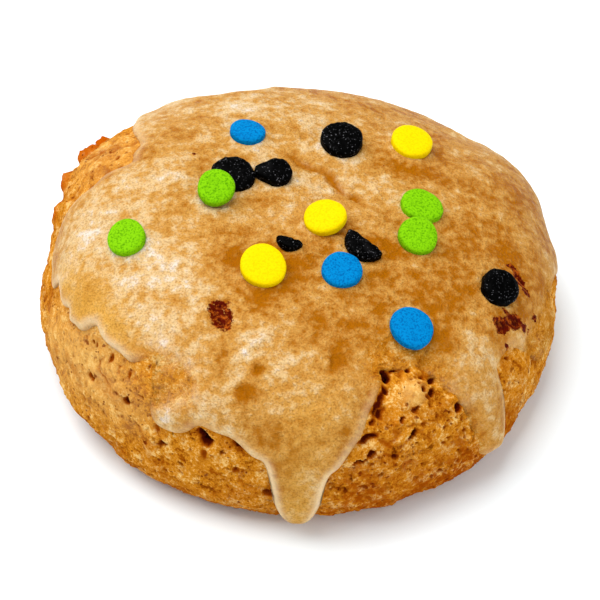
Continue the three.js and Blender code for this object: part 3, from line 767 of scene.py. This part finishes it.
def glaze_height(point):
    """Height of the glaze over the smooth skin, away from its edge: a thickness, plus uneven noise at
    several sizes, plus pools and ridges, less dents and creases."""
    pushed = ragged(point)
    uneven = sum(rise * (noise(point, lump) - 0.5) for lump, rise in GLAZE_UNEVEN)
    raised = bumps(GLAZE_SWELLS, point) + pits(GLAZE_RIDGES, point)
    return GLAZE_THICKNESS + uneven + raised - pits(GLAZE_DENTS, pushed) - pits(GLAZE_CREASES, pushed)


def plan_place(x, y):
    """Azimuth and reach of a plan place from the dome's axis, by the superellipse turned round."""
    azimuth = np.degrees(np.arctan2(y, x))
    out = np.hypot(x, y) / outline(azimuth)
    return azimuth, np.arctan2(out, (1 - out**FULLNESS) ** (1 / FULLNESS)) * 2 / np.pi


def meniscus(point):
    """Rings exp(-(gap / width)^2) at the rims of the sprinkles, and how far they draw the glaze up."""
    width, rise = MENISCUS
    total = np.zeros(point.shape[:-1])
    for sprinkle in sum(SPRINKLES.values(), ()):
        away = np.linalg.norm(point - dome(*plan_place(sprinkle["x"], sprinkle["y"])), axis=-1)
        total = np.maximum(total, np.exp(-(((away - sprinkle["width"] / 2) / width) ** 2)))
    return total, total * rise


def glaze_grid():
    """Azimuths and reaches of the glaze's upper face: rings crowd towards the edge, and its runs come in
    with the cube of the way out."""
    spokes = glaze_spokes()
    shares = 1 - np.linspace(1, 0, GLAZE_RINGS + 1)[1:, None] ** 2
    reach = EDGE_REACH * shares + (edge_reach(spokes) - EDGE_REACH) * shares**3
    return np.broadcast_to(spokes, reach.shape), reach


def glaze_face(azimuth, reach):
    """Lift of the glaze's upper face over the skin, which rolls down at the edge in a quarter circle and
    follows the crumb where it is a film, and the face's traits."""
    point = dome(azimuth, reach)
    pushed = ragged(point)
    gap = edge_distance(skin(azimuth, reach, 0.0))
    roll = np.sqrt(1 - (1 - np.minimum(gap / GLAZE_ROLL, 1)) ** 2)
    lips = np.clip(bumps(LIPS, point), 0, 1)
    lip = LIP_RISE * lips * np.exp(-((gap / GLAZE_ROLL - 1) ** 2))
    thinned = 1 - THIN_EDGE * (1 - lips) * np.exp(-((gap / THIN_REACH) ** 2))
    film = np.clip(bumps(FILM, point), 0, 1)
    halo, drawn_up = meniscus(point)
    relief, crumb = crust(azimuth, reach)
    thick = (glaze_height(point) * thinned + lip + drawn_up) * roll
    thin = relief + FILM_LIFT * roll - FILM_DIP * (1 - roll)
    rim = np.exp(-(((gap - RIM_MIDDLE) / RIM_HALF) ** 2))
    traits = {
        "rim": rim * (1 - film) * (RIM_LEAST + (1 - RIM_LEAST) * lips),
        "ridge": pits(GLAZE_RIDGES, point) / max(ridge[4] for ridge in GLAZE_RIDGES),
        "crease": pits(GLAZE_CREASES, pushed),
        "film": film,
        "high": crumb["high"],
        "hollow": crumb["hollow"] * film,
        "honey": np.clip(bumps(HONEY, point), 0, 1) * smooth(gap, *HONEY_STARTS),
        # Frost: whiter partly by dried sugar and partly by painted sheen and highlight
        "frost_and_sheen": np.clip(bumps(FROST_AND_SHEEN, point), *FROST_AND_SHEEN_LIMITS) * smooth(gap, *FROST_AND_SHEEN_STARTS),
        "halo": halo,
        "stain": pits(STAINS, pushed) - pits(STAIN_CRUMBS, pushed),
    }
    return thick + film * (thin - thick), traits


# Colours of the glaze; its whitest is partly dried sugar and partly painted sheen, and the rim's cream
# partly painted highlight
GLAZE_SHADE = colour(128, 76, 16)
GLAZE_BROWN = colour(160, 92, 0)
GLAZE_TAN = colour(196, 143, 68)
GLAZE_CREAM = colour(214, 181, 130)
SUGAR_AND_SHEEN_WHITE = colour(222, 210, 195)
RIM_CREAM_HIGHLIGHT = colour(238, 211, 168)
HONEY_POOL = colour(210, 158, 68)
STAIN = colour(84, 12, 0)
STAIN_CRUMB = colour(166, 78, 14)

# How coordinates are scaled for the mottle that runs in streaks
STREAKED = (0.8, 1.05, 0.85)


def sugar_and_sheen_level(place):
    """How white the glaze is, from about 0 to 1, partly sugar that dried in it and partly painted sheen
    and highlight, and the specks and blotches in it: clouds of four sizes, whiter in the frost and round
    the sprinkles, and on ridges as a painted highlight."""
    specks = place.cloud(0.26, 2, 0.6, 90)
    blotches = place.cloud(0.9, 1, 0.4, 140)
    streaked = place.node("ShaderNodeMapping", {}, {"Vector": place, "Scale": STREAKED})
    level = place.cloud(6, 1, 0.5) * 0.5 + streaked.cloud(2.6, 2, 0.5, 60) * 1.1
    level = level + blotches * 0.9 + specks * 0.5 + place.trait("frost_and_sheen") * 0.42
    # Painted highlight: whiter along the ridges
    level = level + place.trait("halo") * 0.18 + place.trait("ridge") * 0.25 - 1.17
    return level, specks, blotches


def stained(place, tint):
    """A colour with ragged red-brown stains over it, nearly black painted shade where they are deepest."""
    stain = place.trait("stain") + place.cloud(0.5, 3, 0.75, 120) * 1.4 - 0.7
    brown = place.cloud(0.5, 3, 0.6, 160).ramp(0.47, 0.67).mix(STAIN, STAIN_CRUMB)
    tint = stain.ramp(0.3, 0.5).mix(tint, brown)
    # Painted shade: nearly black at the deepest of each stain, down in the hole under it
    return (stain.ramp(0.85, 1.2) * 0.6).mix(tint, HOLE_SHADE)


def glaze_material():
    """Satin glaze: tan, golden brown in blotches where it is thin over the dough, speckled white where its
    sugar dried and with painted sheen, darker in its creases as painted shade, with a cream rim that is
    partly painted highlight, honey pools, and dark red-brown stains over holes, nearly black painted
    shade where they are deepest."""
    material, inputs, place = new_material("poured_glaze")
    level, specks, blotches = sugar_and_sheen_level(place)
    bare, grain = dough_colour(place)
    hollow = torn_hollow(place)
    shade = place.cloud(0.24, 1, 0.5, 200).ramp(0.42, 0.72)
    tint = level.ramp(-0.06, 0.48).mix(GLAZE_BROWN, GLAZE_TAN)
    tint = level.ramp(0.4, 0.8).mix(tint, GLAZE_CREAM)
    # Whitest where the level is highest: dried sugar and painted sheen
    tint = level.ramp(0.75, 1.15).mix(tint, SUGAR_AND_SHEEN_WHITE)
    tint = (place.trait("honey") * 0.85).mix(tint, HONEY_POOL)
    # Painted shade: darker brown down in the creases
    tint = (place.trait("crease") * 2.4).mix(tint, GLAZE_BROWN)
    tint = (shade * 0.4).mix(tint, GLAZE_SHADE)
    # Cream rim, partly the glaze's own colour and partly painted highlight
    tint = (place.trait("rim") * 0.75).mix(tint, RIM_CREAM_HIGHLIGHT)
    tint = (place.trait("film") * 0.75).mix(tint, bare)
    # Painted shade, partly the crust's own browning: red-brown, then nearly black in the hollows under the
    # film
    tint = hollow.ramp(0.15, 0.45).mix(tint, RED_BROWN_AND_SHADE)
    tint = hollow.ramp(0.8, 1.15).mix(tint, HOLE_SHADE)
    stained(place, tint).into(inputs["Base Color"])
    (0.35 + level * 0.1 + place.trait("film") * 0.5).into(inputs["Roughness"])
    inputs["Specular IOR Level"].default_value = 0.02
    inputs["Subsurface Weight"].default_value = 0.08
    inputs["Subsurface Radius"].default_value = (1.0, 0.5, 0.15)
    inputs["Subsurface Scale"].default_value = 0.6 * MM
    (specks * 0.8 + blotches + place.trait("film") * grain).bump_into(inputs["Normal"], 1.0, 0.3)
    return material


def glaze_piece():
    """The upper face's rings, then rings that go down into the dough at the edge and back under its skin
    to the middle."""
    azimuth, reach = glaze_grid()
    lift, traits = glaze_face(azimuth, reach)
    shares = np.linspace(0, 1, BURIED_RINGS + 1)[1:, None]
    sunk = lift[-1] + shares * (-GLAZE_BURIED - lift[-1])
    under = np.array(UNDER_SHARES)[:, None] * reach[-1]
    hidden_reach = np.concatenate([np.broadcast_to(reach[-1], sunk.shape), under])
    hidden_lift = np.concatenate([sunk, np.full_like(under, -GLAZE_BURIED)])
    hidden = skin(np.broadcast_to(azimuth[-1], hidden_reach.shape), hidden_reach, hidden_lift)
    rings = np.concatenate([skin(azimuth, reach, lift), hidden])
    middle = np.array(0.0)
    top = skin(middle, middle, glaze_height(dome(middle, middle)))
    bottom = skin(middle, middle, -GLAZE_BURIED)
    return closed_piece("glaze", rings, top, bottom, glaze_material(), carried_on(traits, len(hidden)))


glaze = glaze_piece()
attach(glaze, "root")
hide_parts("icing")

# The sprinkles
# Flat round discs of pressed, coloured sugar, dropped on the wet glaze and stuck in it as it dried.
# Most are whole, a few black ones are broken or pinched; each colour is one piece.

# A disc's height, how far it sank in, its rounding and waviness, then the shapes of a tip and of a break
SPRINKLE_HEIGHT = 1.5
SPRINKLE_SUNK = 0.4
SPRINKLE_EASE = 0.5
SPRINKLE_WOBBLE = 0.025
TIP_WAIST = 0.85
TIP_STRETCH = 0.45
TIP_HALF = 0.5
BROKEN_OFFSET = 0.42
BROKEN_CORNER = 6.0

# A disc's grid, and the scale that turns the grain of its flat faces upright
SPRINKLE_SPOKES = 72
SPRINKLE_RINGS = 40
FLAT_FACES = (1, 1, 6)

# Each kind of sugar: its face and its specks (painted glints on the black), the levels of noise between
# which specks start and are full, its blush of the speck's colour, its roughness, and the lump and rise
# of its grain
SUGARS = {
    "yellow": dict(
        face=colour(230, 203, 0), speck=colour(216, 180, 0), levels=(0.42, 0.72), blush=0.15,
        roughness=0.5, grain=(0.8, 0.06),
    ),
    "green": dict(
        face=colour(121, 188, 8), speck=colour(62, 124, 0), levels=(0.42, 0.72), blush=0.2,
        roughness=0.55, grain=(0.7, 0.08),
    ),
    "blue": dict(
        face=colour(0, 123, 187), speck=colour(0, 70, 134), levels=(0.42, 0.72), blush=0.25,
        roughness=0.6, grain=(0.6, 0.08),
    ),
    # The black sugar's light grey specks are painted glints
    "black": dict(
        face=colour(0, 0, 0), speck=colour(120, 120, 124), levels=(0.62, 0.74), blush=0.02,
        roughness=0.42, grain=(0.45, 0.2),
    ),
}

rng = np.random.default_rng(7)


def sprinkle_outline(turn, width, half, tip):
    """Radius of a sprinkle in each direction: a circle with two small waves, drawn out to a tip, or cut
    off by a chord if it is a broken half."""
    phases = rng.uniform(0, 2 * np.pi, 2)
    waves = np.cos(2 * turn + phases[0]) + 0.6 * np.cos(3 * turn + phases[1])
    radius = width / 2 * (1 + SPRINKLE_WOBBLE * waves)
    if tip is not None:
        away = (turn - math.radians(tip) + np.pi) % (2 * np.pi) - np.pi
        radius = radius * (TIP_WAIST + TIP_STRETCH * np.exp(-((away / TIP_HALF) ** 2)))
    if half is not None:
        away = turn - math.radians(half)
        offset = BROKEN_OFFSET * width / 2
        arc = np.sqrt(radius**2 - (offset * np.sin(away)) ** 2) - offset * np.cos(away)
        chord = offset / np.maximum(-np.cos(away), 0.05)
        radius = (arc**-BROKEN_CORNER + chord**-BROKEN_CORNER) ** (-1 / BROKEN_CORNER)
    return radius


def sprinkle_shape(grain, width, half, tip):
    """Points of a sprinkle round its own middle, with its top and bottom last: a superellipse of
    revolution, flat above and below, with a noise of grain."""
    turn = np.linspace(0, 2 * np.pi, SPRINKLE_SPOKES, endpoint=False)
    sweep = np.linspace(0, np.pi, SPRINKLE_RINGS + 2)[1:-1, None]
    out = np.sin(sweep) ** SPRINKLE_EASE * sprinkle_outline(turn, width, half, tip)
    top = SPRINKLE_HEIGHT / 2
    rise = np.sign(np.cos(sweep)) * np.abs(np.cos(sweep)) ** SPRINKLE_EASE * top
    rings = np.stack(np.broadcast_arrays(out * np.cos(turn), out * np.sin(turn), rise), -1)
    points = np.concatenate([rings.reshape(-1, 3), [[0, 0, top], [0, 0, -top]]])
    lump, rough = grain
    drawn = noise(points + rng.uniform(0, 90, 3), lump) - 0.5
    return points + unit(points * FLAT_FACES) * (drawn * rough)[:, None]


def sprinkle_points(kind, x, y, width, lean=0, towards=0, raised=0, half=None, tip=None):
    """Points of a sprinkle where it lies, with its axis along the dome's normal, leaned over."""
    shape = sprinkle_shape(SUGARS[kind]["grain"], width, half, tip)
    azimuth, reach = plan_place(x, y)
    out = directions(azimuth, reach)[2]
    foot = skin(azimuth, reach, glaze_height(dome(azimuth, reach)))
    sideways = np.array([math.cos(math.radians(towards)), math.sin(math.radians(towards)), 0])
    up = unit(out + sideways * math.tan(math.radians(lean)))
    right = unit(np.cross([0.0, 1.0, 0.0], up))
    back = np.cross(up, right)
    lift = raised + math.sin(math.radians(lean)) * width / 2 - SPRINKLE_SUNK + SPRINKLE_HEIGHT / 2
    return foot + out * lift + shape @ np.stack([right, back, up])


def sugar_material(kind):
    """Chalky pressed sugar: one strong colour with fine specks of another; on the black sugar the light
    grey specks are painted glints.
    """
    material, inputs, place = new_material(kind + "_sugar")
    sugar = SUGARS[kind]
    specks = place.cloud(0.24, 2, 0.6)
    blush = place.cloud(1.6, 2, 0.5, 30).ramp(0.5, 0.8)
    tint = (specks.ramp(*sugar["levels"]) * 0.8).mix(sugar["face"], sugar["speck"])
    tint = (blush * sugar["blush"]).mix(tint, sugar["speck"])
    tint.into(inputs["Base Color"])
    (sugar["roughness"] + specks * 0.15).into(inputs["Roughness"])
    inputs["Specular IOR Level"].default_value = 0.02
    specks.bump_into(inputs["Normal"], 0.35, 0.1)
    return material


def sprinkle_piece(kind):
    """All the sprinkles of one colour, as one mesh of closed discs."""
    discs = np.stack([sprinkle_points(kind, **sprinkle) for sprinkle in SPRINKLES[kind]])
    quads, triangles = shell_faces(SPRINKLE_RINGS, SPRINKLE_SPOKES)
    first = np.arange(len(discs))[:, None, None] * discs.shape[1]
    quads = (first + quads).reshape(-1, 4)
    triangles = (first + triangles).reshape(-1, 3)
    return new_piece("sprinkles_" + kind, discs.reshape(-1, 3), quads, triangles, sugar_material(kind))


for kind in SPRINKLES:
    sprinkles = sprinkle_piece(kind)
    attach(sprinkles, "root")
    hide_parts("icing")

# Floor, light and camera
# A plain white floor under soft studio light: an even white surround, a large soft light from the
# upper left and behind, and the camera 45 degrees above, as the cookie was seen.

FLOOR_WIDTH = 3.0
FLOOR_WHITE = (0.89, 0.955, 0.98, 1)
CAMERA_TARGET = Vector((-0.09, -0.89, 10.0)) * MM
CAMERA_DISTANCE = 0.4
CAMERA_ELEVATION = 45.0
CAMERA_LENS = 199.4
SURROUND = 0.5

# Name, place in metres, width in metres, power in watts
LIGHTS = (
    ("key", (-0.33, 0.13, 0.84), 1.0, 12.0),
    ("fill", (0.6, -0.55, 0.55), 1.0, 3.9),
)


def floor_piece():
    """A square white sheet that the cookie lies on."""
    corners = np.array([(-1, -1, 0), (1, -1, 0), (1, 1, 0), (-1, 1, 0)]) * FLOOR_WIDTH / 2
    mesh = bpy.data.meshes.new("floor")
    mesh.from_pydata(corners.tolist(), [], [(0, 1, 2, 3)])
    material, inputs, _ = new_material("white_floor")
    inputs["Base Color"].default_value = FLOOR_WHITE
    inputs["Roughness"].default_value = 0.9
    inputs["Specular IOR Level"].default_value = 0.1
    mesh.materials.append(material)
    piece = bpy.data.objects.new("floor", mesh)
    bpy.context.scene.collection.objects.link(piece)
    return piece


def aim(thing, place, target):
    """Puts a lamp or camera at a place, looking along its own -Z at a target."""
    thing.location = place
    thing.rotation_euler = (Vector(target) - Vector(place)).to_track_quat("-Z", "Y").to_euler()
    bpy.context.scene.collection.objects.link(thing)


floor_piece()

world = bpy.data.worlds.new("surround")
world.use_nodes = True
world.node_tree.nodes["Background"].inputs["Color"].default_value = (1, 1, 1, 1)
world.node_tree.nodes["Background"].inputs["Strength"].default_value = SURROUND
bpy.context.scene.world = world
bpy.context.scene.view_settings.view_transform = "Standard"

for name, place, size, power in LIGHTS:
    lamp = bpy.data.lights.new(name, "AREA")
    lamp.size = size
    lamp.energy = power
    aim(bpy.data.objects.new(name, lamp), place, CAMERA_TARGET)

lens = bpy.data.cameras.new("camera")
lens.lens = CAMERA_LENS
camera = bpy.data.objects.new("camera", lens)
tilt = math.radians(CAMERA_ELEVATION)
back_and_up = Vector((0, -math.cos(tilt), math.sin(tilt)))
aim(camera, CAMERA_TARGET + CAMERA_DISTANCE * back_and_up, CAMERA_TARGET)
bpy.context.scene.camera = camera
